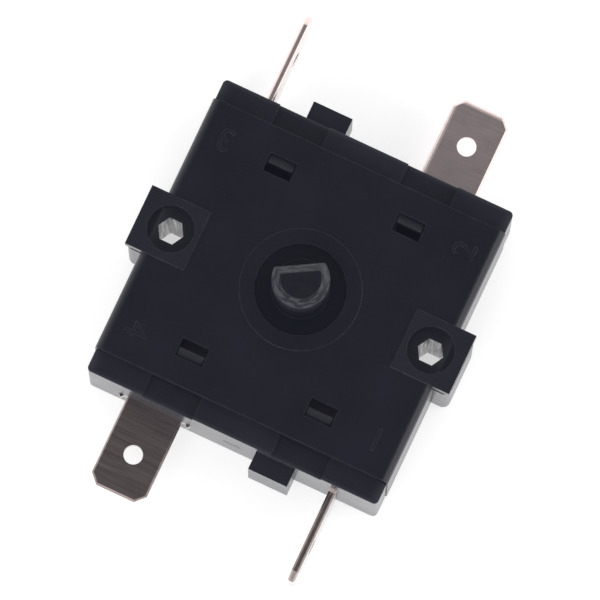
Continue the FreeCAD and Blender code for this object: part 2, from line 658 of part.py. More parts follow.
def make_rotor():
    rotor = Piece("rotor_shaft")
    rotor.slab(rotor_bottom, rotor_top, circle, 0, 0, rotor_radius)
    valley = rotor.cut(rotor_bottom, rotor_top, circle, valley_bottom + s.valley_radius, 0, s.valley_radius)
    rotor.around([valley], s.valley_count)
    rotor.slab(rotor_top, journal_top, circle, 0, 0, s.journal_radius)
    rotor.slab(journal_top, shaft_top, circle, 0, 0, s.shaft_radius)
    rotor.cut(shaft_top - s.shaft_flat_length, shaft_top, rectangle, s.shaft_flat,
              s.shaft_radius + OVERRUN, -s.shaft_radius, s.shaft_radius, turn=s.shaft_flat_direction)
    rotor.dress("Chamfer", s.shaft_chamfer, lambda edge: near(edge.BoundBox.ZMin, shaft_top))
    rotor.slab(s.pivot_floor + s.pivot_tip_gap, rotor_bottom, circle, 0, 0, s.pivot_radius)
    bridge_half = s.contact_spread + s.bridge_end_angle + s.bridge_pocket_angle
    for angle in (s.bridge_angle_a, s.bridge_angle_b):
        rotor.cut(rotor_bottom, pocket_top, sector, pocket_inner, pocket_outer,
                  -bridge_half, bridge_half, turn=angle)
        rotor.cut(rotor_bottom, pocket_top, circle, tongue_place, 0,
                  s.tongue_radius + s.bridge_pocket_gap, turn=angle)
        rotor.cut(rotor_bottom, spring_bore_top, circle, tongue_place, 0, spring_bore, turn=angle)
    rotor.slab(rotor_top, rotor_top + s.stop_height, sector, stop_inner, rotor_radius - s.stop_inset,
               -s.stop_half_angle, s.stop_half_angle, turn=s.stop_direction)
    return rotor


def coined(edge, reach, across):
    """True on the edges that lie on the free end of a tab, outside the wall."""
    box = edge.BoundBox
    return box.YMax < NEARLY - base_half_y.number and box.YMin > -reach.number - NEARLY and across(box)


def make_flat_terminal(name, turn):
    terminal = Piece(name, turn)
    terminal.slab(track_bottom, s.track_top, flat_blade)
    terminal.slab(track_bottom, s.track_top, sector, track_inner, track_outer,
                  s.flat_track_start, s.flat_track_end)
    reach = base_half_y + s.flat_reach
    terminal.dress("Chamfer", s.coin, lambda edge: coined(
        edge, reach, lambda box: box.ZLength < NEARLY
        and (near(box.ZMin, track_bottom) or near(box.ZMin, s.track_top))
        and box.XMin > -(s.flat_x + s.tab_width / 2).number - NEARLY
        and box.XMax < -(s.flat_x - s.tab_width / 2).number + NEARLY))
    terminal.cut(track_bottom, s.track_top, circle, -s.flat_x, s.tab_hole_setback - reach, s.tab_hole_radius)
    return terminal


def make_upright_terminal(name, turn):
    terminal = Piece(name, turn)
    face = s.upright_x - s.tab_thickness / 2
    drawing = terminal.sketch("YZ_Plane", face)
    upright_blade(drawing)
    terminal.pad(drawing, s.tab_thickness)
    reach = base_half_y + s.upright_reach
    terminal.dress("Chamfer", s.coin, lambda edge: coined(
        edge, reach, lambda box: box.XLength < NEARLY
        and box.ZMax < (tab_height + s.tab_width / 2).number + NEARLY))
    drawing = terminal.sketch("XZ_Plane", strip_inner)
    sector(drawing, s.bend_inner_radius, bend_outer_radius, -QUARTER_TURN, 0, bend_centre_x, bend_centre_z)
    terminal.pad(drawing, s.strip_width)
    terminal.slab(track_bottom, s.track_top, rectangle, s.strip_end, bend_centre_x,
                  -s.strip_outer, -strip_inner)
    terminal.slab(track_bottom, s.track_top, sector, track_inner, track_outer,
                  s.upright_track_start, s.upright_track_end)
    drawing = terminal.sketch("YZ_Plane", s.upright_x + s.tab_thickness / 2)
    circle(drawing, s.tab_hole_setback - reach, tab_height, s.tab_hole_radius)
    terminal.pocket(drawing, s.tab_thickness)
    return terminal


def make_bridge(name, turn):
    bridge = Piece(name, turn)
    half = s.contact_spread + s.bridge_end_angle
    bridge.slab(bridge_bottom, bridge_top, sector, s.contact_radius - s.bridge_half_width,
                s.contact_radius + s.bridge_half_width, -half, half)
    bridge.slab(bridge_bottom, bridge_top, circle, tongue_place, 0, s.tongue_radius)
    for sign in (-1, 1):
        bridge.cut(bridge_bottom, bridge_top, circle, s.contact_radius, 0,
                   s.rivet_radius + s.rivet_gap, turn=sign * s.contact_spread)
    return bridge


def make_button(name, direction):
    """A contact rivet: flat head and shank, turned about its own axis."""
    button = Piece(name)
    drawing = button.sketch("XZ_Plane", 0)
    polygon(drawing, [
        (0, button_bottom), (s.button_radius, button_bottom), (s.button_radius, bridge_bottom),
        (s.rivet_radius, bridge_bottom), (s.rivet_radius, bridge_top), (0, bridge_top)])
    turned = button.body.newObject("PartDesign::Revolution", f"{name}_turned")
    turned.Profile = drawing
    turned.ReferenceAxis = (drawing, ["V_Axis"])
    turned.Angle = FULL_TURN
    place_x = s.contact_radius * cosine(direction)
    place_y = s.contact_radius * sine(direction)
    button.body.Placement = FreeCAD.Placement(
        FreeCAD.Vector(place_x.number, place_y.number, 0), FreeCAD.Rotation())
    button.body.setExpression("Placement.Base.x", place_x.text)
    button.body.setExpression("Placement.Base.y", place_y.text)
    return button


def make_spring(name, wire, outer_radius, turns, length, place, tilt):
    """A compression spring: a many-sided wire along a helix of short straight runs, from z = 0 up."""
    radius = (outer_radius - wire / 2).number
    climb = (length - wire).number
    runs = round(turns.number * RUNS_PER_TURN)
    turn = 2 * math.pi / RUNS_PER_TURN
    points = [FreeCAD.Vector(radius * math.cos(turn * k), radius * math.sin(turn * k),
                             wire.number / 2 + climb * k / runs) for k in range(runs + 1)]
    section = Part.makeCircle(wire.number / 2, points[0], points[1].sub(points[0]))
    outline = Part.makePolygon(section.discretize(Number=WIRE_SIDES + 1))
    right_corner = 1
    spring = document.addObject("Part::Feature", name)
    spring.Label = name
    spring.Shape = Part.makePolygon(points).makePipeShell([outline], True, True, right_corner)
    spring.Placement = FreeCAD.Placement(
        FreeCAD.Vector(*[size.number for size in place]), FreeCAD.Rotation(FreeCAD.Vector(1, 0, 0), tilt))
    return spring


def make_ball(name, side):
    ball = document.addObject("Part::Sphere", name)
    ball.Label = name
    ball.setExpression("Radius", s.ball_radius.text)
    ball.setExpression("Placement.Base.y", (side * ball_place).text)
    ball.setExpression("Placement.Base.z", ball_height.text)
    return ball


def build():
    make_base()
    make_cover()
    make_rotor()
    for place, turn in (("front", 0), ("rear", HALF_TURN)):
        make_flat_terminal(f"terminal_flat_{place}", turn)
        make_upright_terminal(f"terminal_upright_{place}", turn)
    for letter, angle in (("a", s.bridge_angle_a), ("b", s.bridge_angle_b)):
        make_bridge(f"contact_bridge_{letter}", angle)
        for number, side in ((1, -1), (2, 1)):
            make_button(f"contact_button_{letter}{number}", angle + side * s.contact_spread)
        bottom = bridge_top + s.spring_seat_gap
        place = (tongue_place * cosine(angle), tongue_place * sine(angle), bottom)
        make_spring(f"bridge_spring_{letter}", s.bridge_wire, s.bridge_spring_radius, s.bridge_turns,
                    spring_bore_top - s.spring_seat_gap - bottom, place, 0)
    start = ball_place + s.ball_radius + s.spring_seat_gap
    for end, side in (("front", -1), ("rear", 1)):
        make_ball(f"detent_ball_{end}", side)
        make_spring(f"detent_spring_{end}", s.detent_wire, s.ball_radius - s.detent_spring_inset,
                    s.detent_turns, spring_pocket_end - s.spring_seat_gap - start,
                    (Size.of(0), side * start, ball_height), -side * QUARTER_TURN)


def check():
    """Stops if a feature failed, a cut or pad changed nothing, or a piece is no single sound solid."""
    for item in document.Objects:
        bad = [state for state in item.State if state in ("Invalid", "Error")]
        if bad:
            raise RuntimeError(f"{item.Name}: {bad}")
        before = getattr(item, "BaseFeature", None)
        if before is None or item.TypeId not in ("PartDesign::Pad", "PartDesign::Pocket"):
            continue
        change = item.Shape.Volume - before.Shape.Volume
        if item.TypeId.endswith("Pad") and change < 1e-6:
            raise RuntimeError(f"{item.Name} adds nothing")
        if item.TypeId.endswith("Pocket") and change > -1e-6:
            raise RuntimeError(f"{item.Name} cuts nothing")
    for piece in pieces():
        if piece.Shape.isNull() or not piece.Shape.isValid() or len(piece.Shape.Solids) != 1:
            raise RuntimeError(f"{piece.Label}: not one sound solid")


def pieces():
    kinds = ("PartDesign::Body", "Part::Sphere", "Part::Feature")
    return [item for item in document.Objects if item.TypeId in kinds]


build()
document.recompute()
check()
os.makedirs("parts", exist_ok=True)
for piece in pieces():
    piece.Shape.exportStep(os.path.join("parts", f"{piece.Label}.step"))
    box = piece.Shape.BoundBox
    print(f"{piece.Label}: {piece.Shape.Volume:.2f} mm3, X {box.XMin:.2f} {box.XMax:.2f}, "
          f"Y {box.YMin:.2f} {box.YMax:.2f}, Z {box.ZMin:.2f} {box.ZMax:.2f}")
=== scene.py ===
"""Finishes, fine details and a plain studio for a rotary selector switch.

Lengths are metres. The frame's origin is on the shaft's axis at the resting face, +Z runs up
the shaft, +Y points at the rear tabs and +X along the line of the two screw ears.
"""

import math

import bmesh
import bpy
import numpy as np
from bpy.props import (
    FloatProperty,
    FloatVectorProperty,
    PointerProperty,
)
from mathutils import Matrix, Vector


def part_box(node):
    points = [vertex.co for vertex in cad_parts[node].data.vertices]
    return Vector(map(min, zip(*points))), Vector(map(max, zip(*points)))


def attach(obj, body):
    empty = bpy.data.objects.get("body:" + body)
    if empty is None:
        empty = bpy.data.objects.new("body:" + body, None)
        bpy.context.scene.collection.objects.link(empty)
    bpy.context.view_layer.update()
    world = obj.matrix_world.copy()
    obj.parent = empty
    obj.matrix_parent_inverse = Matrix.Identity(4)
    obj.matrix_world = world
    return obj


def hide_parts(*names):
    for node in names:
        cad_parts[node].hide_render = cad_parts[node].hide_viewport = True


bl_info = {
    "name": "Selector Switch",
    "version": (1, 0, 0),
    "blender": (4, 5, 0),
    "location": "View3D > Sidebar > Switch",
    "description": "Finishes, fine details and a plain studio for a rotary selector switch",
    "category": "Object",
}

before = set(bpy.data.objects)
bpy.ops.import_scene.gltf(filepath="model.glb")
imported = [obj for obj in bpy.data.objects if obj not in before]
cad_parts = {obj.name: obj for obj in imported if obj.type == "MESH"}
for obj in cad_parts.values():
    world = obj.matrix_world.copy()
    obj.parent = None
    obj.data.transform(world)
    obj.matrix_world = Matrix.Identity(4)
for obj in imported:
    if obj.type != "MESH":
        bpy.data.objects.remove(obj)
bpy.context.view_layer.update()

MM = 0.001
FRONT_BACK = ("front", "rear")

cover_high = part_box("housing_cover")[1]
rotor_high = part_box("rotor_shaft")[1]
tab_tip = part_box("terminal_flat_rear")[1].y

# How far the screw ears stand out beyond the cover's sides and above its plate
EAR_REACH = 1.78 * MM
EAR_PROUD = 0.18 * MM
SCREW_REACH = 14.76 * MM
SCREW_HOLE = 1.42 * MM

# How far the base's end walls reach to the side and ahead, how far the cover hides the base, the widths
# over which the painted highlight at the base's rim and the rougher hidden part fade, and the height above
# the floor where they start
END_SIDE = 16.48 * MM
END_FACE = 16.73 * MM
UNDER_COVER = (12.4 * MM, 14.1 * MM)
RIM_FADE = 1.4 * MM
BRIM_FADE = 0.6 * MM
HIDDEN_FADE = 0.2 * MM
CUT_OFF = 0.05 * MM
SOLE = (0.10 * MM, 0.15 * MM)

# Wire and turns of the springs
BRIDGE_WIRE = 0.30 * MM
BRIDGE_TURNS = 4.0
DETENT_WIRE = 0.35 * MM
DETENT_TURNS = 3.5
STEPS_PER_TURN = 36
WIRE_SIDES = 14

# Where the flat tabs' near side lies, and the width and depth of the soft bevels on the rear one
TAB_SIDE = 5.65 * MM
BEVEL_WIDTH = 0.45 * MM
BEVEL_DEPTH = 0.14 * MM

# Marks on the moulded plastic: how wide they are, and how deep the grain is
BORE_EDGE = 0.02 * MM
BORE_STREAK = 0.3 * MM
DRIFT = 7 * MM
SPECK = 0.5 * MM
SCUFF = 0.35 * MM
# Edge wear with painted highlight: the size of its patches and its width
EDGE_WEAR_AND_HIGHLIGHT_STRETCH = 0.9 * MM
EDGE_WEAR_AND_HIGHLIGHT_WIDTH = 0.20 * MM
RIPPLE = 0.4 * MM
GRAIN_DEPTH = 0.004 * MM

# Bands below the shaft's top: the scratched tip with its painted highlight, the side with a painted
# reflection that fades downwards, and the level top; then its marks
TIP_BAND = (1.1 * MM, 0.8 * MM)
WALL_BAND = (6.0 * MM, 0.9 * MM)
TOP_BAND = (0.14 * MM, 0.01 * MM)
SHAFT_DRIFT = 5 * MM
# Scratch marks on the shaft's tip, which also carry a painted highlight: their sizes and colour
SCRATCH_AND_HIGHLIGHT_SIZE = 0.55 * MM
CROSS_SCRATCH_AND_HIGHLIGHT_SIZE = 0.4 * MM
SCRATCH_AND_HIGHLIGHT_COLOUR = (0.22, 0.22, 0.25)
# Width of the edge wear with painted highlight on the rotor
SHAFT_EDGE_WEAR_AND_HIGHLIGHT_WIDTH = 0.14 * MM
SHAFT_DEPTH = 0.006 * MM

# Marks on the metals: how wide they are, and how deep
DULL_PATCH = 2.2 * MM
FINE_SCRATCH = 0.16 * MM
# Width of the pale cut edges with their painted highlight
CUT_EDGE_AND_HIGHLIGHT_WIDTH = 0.07 * MM
BRUSH_DEPTH = 0.004 * MM
PIT_DEPTH = 0.003 * MM

# The lights' places and widths, the floor, the sky overhead and the camera's sensor
KEY_PLACE = (-0.10, -0.55, 0.60)
KEY_WIDTH = 0.45
FILL_PLACE = (0.60, 0.25, 0.35)
FILL_WIDTH = 0.50
FLOOR_REACH = 2.0
FLOOR_DROP = 0.02 * MM
HORIZON_TO_OVERHEAD = (0.25, 0.98)
HORIZON = (1.0, 1.0, 1.0)
OVERHEAD = (0.17, 0.17, 0.18)
SENSOR_WIDTH = 36.0


# Sizes and colours that a user would change

def colour(name, description, value):
    return FloatVectorProperty(
        name=name, description=description, subtype="COLOR", size=3, min=0.0, max=1.0, default=value)


def length(name, description, value):
    return FloatProperty(
        name=name, description=description, unit="LENGTH", min=0.0, default=value, precision=6)


def share(name, description, value):
    return FloatProperty(name=name, description=description, min=0.0, max=1.0, default=value)


class PlasticSettings(bpy.types.PropertyGroup):
    """Moulded housing and rotor."""

    cover: colour("Cover", "Plastic of the cover", (0.0048, 0.0052, 0.0110))
    base: colour("Base", "Plastic of the base", (0.0125, 0.0130, 0.0200))
    rotor: colour("Rotor", "Plastic of the rotor and its shaft", (0.0018, 0.0024, 0.0058))
    # Rubbed plastic, also used as the painted highlight on the base's rim, the shaft's side and the moulded
    # edges
    worn_and_highlight: colour("Worn edge", "Plastic where an edge is rubbed", (0.075, 0.077, 0.090))
    haze: colour("Haze", "Faint light that a lens spreads over dark plastic", (0.0055, 0.0062, 0.0095))
    grain: length("Grain", "Width of one grain of the mould's finish", 0.11 * MM)
    edge_round: length("Edge rounding", "Rounding of moulded edges", 0.11 * MM)
    roughness: share("Roughness", "Roughness of the moulded skin", 0.30)


class MetalSettings(bpy.types.PropertyGroup):
    """Stamped terminals, contacts and springs."""

    # One plating in two painted copies: darker on the front tabs and the rear upright tab as painted shade,
    # paler on the rear flat tab as painted light
    tab_dark: colour("Front tabs", "Plating of the front tabs, painted darker", (0.330, 0.270, 0.250))
    tab_light: colour("Rear tabs", "Plating of the rear tabs", (0.840, 0.700, 0.670))
    # Pale plating for fine scratch lines and cut edges, also the painted reflection on the strips' walls
    # and the painted highlight on their edges
    tab_bright_and_reflection: colour("Coined edge", "Plating on the coined bevels and cut sides", (0.90, 0.89, 0.88))
    bridge: colour("Bridge", "Copper alloy of the sliding bridges", (0.60, 0.36, 0.20))
    silver: colour("Contact silver", "Contact buttons", (0.76, 0.75, 0.72))
    steel: colour("Spring steel", "Springs and detent balls", (0.52, 0.53, 0.55))
    brush: length("Brush lines", "Distance between brush lines", 0.09 * MM)
    edge_round: length("Edge rounding", "Rounding of stamped edges", 0.05 * MM)


class NumberSettings(bpy.types.PropertyGroup):
    """Plain raised numbers beside the four terminals."""

    size: length("Size", "Height of a number", 3.5 * MM)
    proud: length("Proud", "How far a number stands out", 0.12 * MM)
    inset_x: length("Inset along X", "From the cover's side to a number's middle", 3.0 * MM)
    inset_y: length("Inset along Y", "From the cover's end to a number's middle", 3.4 * MM)


class StudioSettings(bpy.types.PropertyGroup):
    """Floor, lights and camera."""

    distance: length("Distance", "From the camera to the frame's origin", 1.0)
    azimuth: FloatProperty(name="Azimuth", description="Direction of the camera from the origin",
                           subtype="ANGLE", default=math.radians(-66.312))
    elevation: FloatProperty(name="Elevation", description="Height of the camera above the floor",
                             subtype="ANGLE", default=math.radians(82.545))
    roll: FloatProperty(name="Roll", description="Turn of the picture about the line of sight",
                        subtype="ANGLE", default=math.radians(1.482))
    side_step: FloatProperty(name="Side step", description="Camera to the right of the line of sight",
                             unit="LENGTH", default=-0.016 * MM, precision=6)
    lift: FloatProperty(name="Lift", description="Camera above the line of sight",
                        unit="LENGTH", default=0.646 * MM, precision=6)
    lens: FloatProperty(name="Lens", description="Focal length on a 36 mm sensor", default=576.13)
    key: FloatProperty(name="Key light", description="Power of the key light", unit="POWER", default=1.2)
    fill: FloatProperty(name="Fill light", description="Power of the fill light", unit="POWER", default=0.9)
    floor: share("Floor", "Whiteness of the floor", 0.86)
    glow: share("Floor glow", "White that the floor adds where it is seen", 0.62)


def settings(group):
    return getattr(bpy.context.scene, "switch_" + group)


# Shaders

class Wire:
    """One output of a shader node; arithmetic on it adds Math nodes."""

    def __init__(self, graph, socket):
        self.graph = graph
        self.socket = socket

    def math(self, operation, *values):
        return self.graph.node("ShaderNodeMath", {"operation": operation}, dict(enumerate(values)))

    def __add__(self, other):
        return self.math("ADD", self, other)

    def __sub__(self, other):
        return self.math("SUBTRACT", self, other)

    def __rsub__(self, other):
        return self.math("SUBTRACT", other, self)

    def __mul__(self, other):
        return self.math("MULTIPLY", self, other)

    def __pow__(self, other):
        return self.math("POWER", self, other)

    __radd__ = __add__

    def least(self, other):
        return self.math("MINIMUM", self, other)

    def most(self, other):
        return self.math("MAXIMUM", self, other)

    def between(self, low, high):
        """0 below low, 1 above high and straight in between."""
        return self.graph.node("ShaderNodeMapRange", {"clamp": True},
                               {"Value": self, "From Min": low, "From Max": high})


class Graph:
    """The nodes of one material or world; every node comes from the node method."""

    def __init__(self, owner):
        owner.use_nodes = True
        self.owner = owner
        self.tree = owner.node_tree
        self.tree.nodes.clear()

    def node(self, kind, settings=None, sockets=None, output=0):
        made = self.tree.nodes.new(kind)
        for key, value in (settings or {}).items():
            setattr(made, key, value)
        for key, value in (sockets or {}).items():
            if isinstance(value, Wire):
                self.tree.links.new(value.socket, made.inputs[key])
            else:
                made.inputs[key].default_value = value
        return Wire(self, made.outputs[output])

    def place(self, stretch=(1, 1, 1), turn=(0, 0, 0)):
        """Object coordinates, stretched and turned."""
        here = self.node("ShaderNodeTexCoord", output="Object")
        return self.node("ShaderNodeMapping", sockets={"Vector": here, "Scale": stretch, "Rotation": turn})

    def here(self):
        """The X, Y and Z of the place that is shaded."""
        place = self.node("ShaderNodeTexCoord", output="Object")
        return [self.node("ShaderNodeSeparateXYZ", sockets={0: place}, output=axis) for axis in "XYZ"]

    def noise(self, size, detail=2.0, stretch=(1, 1, 1), turn=(0, 0, 0)):
        """Noise from 0 to 1 with lumps about size wide; stretch above 1 narrows them along an axis."""
        return self.node("ShaderNodeTexNoise", {"noise_dimensions": "3D"},
                         {"Vector": self.place(stretch, turn), "Scale": 1 / size, "Detail": detail,
                          "Roughness": 0.55})

    def mix(self, factor, first, second):
        """From the first colour at 0 to the second at 1."""
        first, second = (
            value if isinstance(value, Wire) else (*value, 1.0) for value in (first, second))
        return self.node("ShaderNodeMix", {"data_type": "RGBA"},
                         {0: factor, 6: first, 7: second}, output=2)

    def edges(self, radius):
        """1 on edges and corners, falling to 0 a radius away: how far a rounded normal leans."""
        leaning = self.node("ShaderNodeBevel", {"samples": 6}, {"Radius": radius})
        flat = self.node("ShaderNodeNewGeometry", output="True Normal")
        same = self.node("ShaderNodeVectorMath", {"operation": "DOT_PRODUCT"},
                         {0: leaning, 1: flat}, "Value")
        return ((1 - same) * 5.0).least(1.0)

    def upright(self):
        """1 on walls and 0 on level faces."""
        flat = self.node("ShaderNodeNewGeometry", output="True Normal")
        rise = self.node("ShaderNodeSeparateXYZ", sockets={0: flat}, output="Z")
        return 1 - rise.math("ABSOLUTE", rise).between(0.2, 0.7)

    def bump(self, height, depth, normal=None):
        sockets = {"Height": height, "Distance": depth, "Strength": 1.0}
        if normal is not None:
            sockets["Normal"] = normal
        return self.node("ShaderNodeBump", sockets=sockets)

    def surface(self, sockets):
        """A Principled surface as the material's output."""
        shader = self.node("ShaderNodeBsdfPrincipled", sockets=sockets)
        self.node_output("ShaderNodeOutputMaterial", shader)

    def node_output(self, kind, shader):
        end = self.tree.nodes.new(kind)
        self.tree.links.new(shader.socket, end.inputs["Surface"])


def new_graph(name):
    return Graph(bpy.data.materials.new(name))


def moulded_plastic(name, colour_now, roughness, streaks=0.0, is_base=0.0):
    """Black moulded plastic: fine grain, slow drift of tone, edge wear with painted highlight and faint
    handling marks.

    The base, where is_base is 1, has a painted highlight that grows towards its rim and is duller
    where the cover hides it, but not on its underside.
    """
    plastic = settings("plastic")
    graph = new_graph(name)
    x, y, z = graph.here()
    aside, ahead = x.math("ABSOLUTE", x), y.math("ABSOLUTE", y)
    away = ((aside - SCREW_REACH) ** 2.0 + y ** 2.0) ** 0.5
    bore = 1 - away.between(SCREW_HOLE - BORE_EDGE, SCREW_HOLE)
    polish = bore * graph.noise(BORE_STREAK, stretch=(1.0, 1.0, 0.04)).between(0.42, 0.78)
    rim = aside.between(END_SIDE - RIM_FADE, END_SIDE)
    rim = rim * (1 - aside.between(END_SIDE, END_SIDE + CUT_OFF))
    brim = ahead.between(END_FACE - BRIM_FADE, END_FACE)
    brim = brim * (1 - ahead.between(END_FACE, END_FACE + CUT_OFF))
    above = z.between(*SOLE)
    rim = rim.most(brim) ** 2.0 * above * is_base
    hidden = 1 - aside.between(UNDER_COVER[0] - HIDDEN_FADE, UNDER_COVER[0])
    hidden = hidden * (1 - ahead.between(UNDER_COVER[1] - HIDDEN_FADE, UNDER_COVER[1]))
    hidden = hidden * above * is_base
    proud = z.between(cover_high.z - EAR_PROUD / 2, cover_high.z - EAR_PROUD / 4)
    grain = graph.noise(plastic.grain, detail=3.0)
    drift = graph.noise(DRIFT, detail=3.0)
    specks = graph.noise(SPECK, detail=4.0).between(0.66, 0.78)
    scuffs = graph.noise(SCUFF, detail=5.0, stretch=(1.0, 6.0, 1.0), turn=(0, 0, 0.5))
    scuffs = scuffs.between(0.62, 0.80)
    edge = graph.edges(EDGE_WEAR_AND_HIGHLIGHT_WIDTH)
    rubbed_and_highlit = (edge * graph.noise(EDGE_WEAR_AND_HIGHLIGHT_STRETCH, detail=3.0).between(0.30, 0.75)).least(1.0)
    deep = tuple(channel * 0.80 for channel in colour_now)
    pale = tuple(channel * 1.30 for channel in colour_now)
    shade = graph.mix(drift.between(0.3, 0.7), deep, pale)
    shade = graph.mix(specks * 0.16, shade, plastic.worn_and_highlight)
    shade = graph.mix(scuffs * 0.12, shade, plastic.worn_and_highlight)
    # The highest faces of the cover, the raised ear tops, are drawn paler
    shade = graph.mix(proud * 0.12, shade, plastic.worn_and_highlight)
    # Painted highlight: the base grows paler towards its rim, above its sole
    shade = graph.mix(rim * 0.65, shade, plastic.worn_and_highlight)
    # Edge wear and painted highlight along the moulded edges
    shade = graph.mix(rubbed_and_highlit * 0.75, shade, plastic.worn_and_highlight)
    rough = roughness + (grain - 0.5) * 0.16 + (drift - 0.5) * 0.10 - scuffs * 0.08 + hidden * 0.5
    rough = rough - graph.upright() * (1 - hidden) * 0.04
    height = grain * 0.7 + graph.noise(RIPPLE, detail=2.0) * 0.5 + scuffs * streaks
    graph.surface({
        "Base Color": shade,
        "Roughness": rough,
        "Normal": graph.bump(height, GRAIN_DEPTH),
        "Coat Weight": polish,
        "Coat Roughness": 0.06,
        "Emission Color": (*plastic.haze, 1.0),
        "Emission Strength": 1.0,
        "IOR": 1.5,
        "Specular IOR Level": 0.50,
    })
    return graph.owner


def scuffed_shaft(name):
    """The rotor's plastic: scratch marks with painted highlight on the shaft's tip, a painted reflection
    down its side that fades lower down, and edge wear with painted highlight.
    """
    plastic = settings("plastic")
    graph = new_graph(name)
    z = graph.here()[2]
    tip, wall, level = (z.between(rotor_high.z - far, rotor_high.z - near)
                        for far, near in (TIP_BAND, WALL_BAND, TOP_BAND))
    below_top = 1 - level
    grain = graph.noise(plastic.grain, detail=3.0)
    drift = graph.noise(SHAFT_DRIFT, detail=3.0)
    lines = graph.noise(SCRATCH_AND_HIGHLIGHT_SIZE, detail=3.0, stretch=(0.5, 0.5, 2.4), turn=(0.06, 0.04, 0.0))
    lines = lines.between(0.46, 0.56)
    cross = graph.noise(CROSS_SCRATCH_AND_HIGHLIGHT_SIZE, detail=6.0, stretch=(7.0, 1.0, 1.0), turn=(0.0, 0.4, 0.9))
    cross = cross.between(0.62, 0.70)
    scratch_and_highlight = (lines + cross * 0.5).least(1.0) * tip
    edge = graph.edges(SHAFT_EDGE_WEAR_AND_HIGHLIGHT_WIDTH)
    deep = tuple(channel * 0.85 for channel in plastic.rotor)
    pale = tuple(channel * 1.25 for channel in plastic.rotor)
    shade = graph.mix(drift, deep, pale)
    # Painted reflection: the shaft's side grows paler towards its top, with a little on the chamfer and the
    # level top
    shade = graph.mix(wall ** 2.0 * ((1 - tip) * 0.42 + 0.08), shade, plastic.worn_and_highlight)
    # Scratch marks and painted highlight on the chamfered tip, kept off the level top
    shade = graph.mix(scratch_and_highlight * below_top * 0.30, shade, SCRATCH_AND_HIGHLIGHT_COLOUR)
    # Edge wear with painted highlight along the rotor's edges
    shade = graph.mix(edge * 0.4, shade, plastic.worn_and_highlight)
    rough = 0.40 + (grain - 0.5) * 0.16 - tip * below_top * 0.10 + scratch_and_highlight * 0.12
    graph.surface({
        "Base Color": shade,
        "Roughness": rough,
        "Normal": graph.bump(grain * 0.5 + scratch_and_highlight * 0.4 + drift * 0.3, SHAFT_DEPTH),
        "Emission Color": (*plastic.haze, 1.0),
        "Emission Strength": 1.0,
        "IOR": 1.5,
        "Specular IOR Level": 0.25,
    })
    return graph.owner


def stamped_metal(name, colour_now, across, lines=1.0, bevels=0.0):
    """Plated strip: fine lines along one axis, light scratch marks, dull patches, walls painted pale as a
    reflection, and cut edges with a painted highlight.

    Where bevels is 1, the flat rear tab falls away softly towards its near side and its tip.
    """
    metal = settings("metal")
    graph = new_graph(name)
    x, y = graph.here()[:2]
    fall = 1 - x.between(TAB_SIDE, TAB_SIDE + BEVEL_WIDTH)
    fall = fall.most(y.between(tab_tip - BEVEL_WIDTH, tab_tip)) * bevels
    stretch = tuple(0.02 if axis == across else 1.0 for axis in range(3))
    brushed = graph.noise(metal.brush, detail=3.0, stretch=stretch)
    broad = graph.noise(6 * metal.brush, detail=2.0, stretch=stretch)
    patches = graph.noise(DULL_PATCH, detail=4.0)
    fine = graph.noise(FINE_SCRATCH, detail=5.0, stretch=stretch, turn=(0.05, 0.03, 0.12))
    fine = fine.between(0.66, 0.74)
    edge = graph.edges(CUT_EDGE_AND_HIGHLIGHT_WIDTH)
    deep = tuple(channel * (1 - 0.28 * lines) for channel in colour_now)
    pale = tuple(channel * (1 + 0.34 * lines) for channel in colour_now)
    shade = graph.mix((brushed * 0.55 + broad * 0.45).between(0.30, 0.70), deep, pale)
    shade = graph.mix(patches.between(0.45, 0.85) * 0.22, shade, deep)
    shade = graph.mix(fine * 0.40 * lines, shade, metal.tab_bright_and_reflection)
    # Painted reflection: the walls of the strip are drawn pale
    shade = graph.mix(graph.upright() * 0.75, shade, metal.tab_bright_and_reflection)
    # Cut edges drawn paler, partly the bare cut metal and partly a painted highlight
    shade = graph.mix(edge * (0.25 + 0.35 * lines), shade, metal.tab_bright_and_reflection)
    rough = 0.30 + (brushed - 0.5) * 0.22 + (patches - 0.5) * 0.14
    graph.surface({
        "Base Color": shade,
        "Roughness": rough.most(0.08),
        "Metallic": 1.0,
        "Emission Color": (*settings("plastic").haze, 1.0),
        "Emission Strength": 1.0,
        "Normal": graph.bump(brushed * 0.7 + broad * 0.5 + fine * 0.6, BRUSH_DEPTH * lines,
                             graph.bump(1 - fall, BEVEL_DEPTH)),
    })
    return graph.owner


def drawn_metal(name, colour_now, roughness, size):
    """Wire, rivet or ball metal: fine pits and slow tarnish."""
    graph = new_graph(name)
    pits = graph.noise(size, detail=4.0)
    tarnish = graph.noise(12 * size, detail=3.0)
    dull = tuple(channel * 0.62 for channel in colour_now)
    shade = graph.mix(tarnish.between(0.35, 0.8), colour_now, dull)
    graph.surface({
        "Base Color": shade,
        "Roughness": roughness + (pits - 0.5) * 0.18,
        "Metallic": 1.0,
        "Normal": graph.bump(pits, PIT_DEPTH),
    })
    return graph.owner


# Meshes

def new_piece(name, mesh, body, slot, material, *nodes):
    """Links a finished mesh as a piece that rides on a body and may stand for CAD nodes."""
    piece = bpy.data.objects.new(name, mesh)
    bpy.context.scene.collection.objects.link(piece)
    mesh.materials.clear()
    mesh.materials.append(material)
    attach(piece, body)
    if nodes:
        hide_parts(*nodes)
    return piece


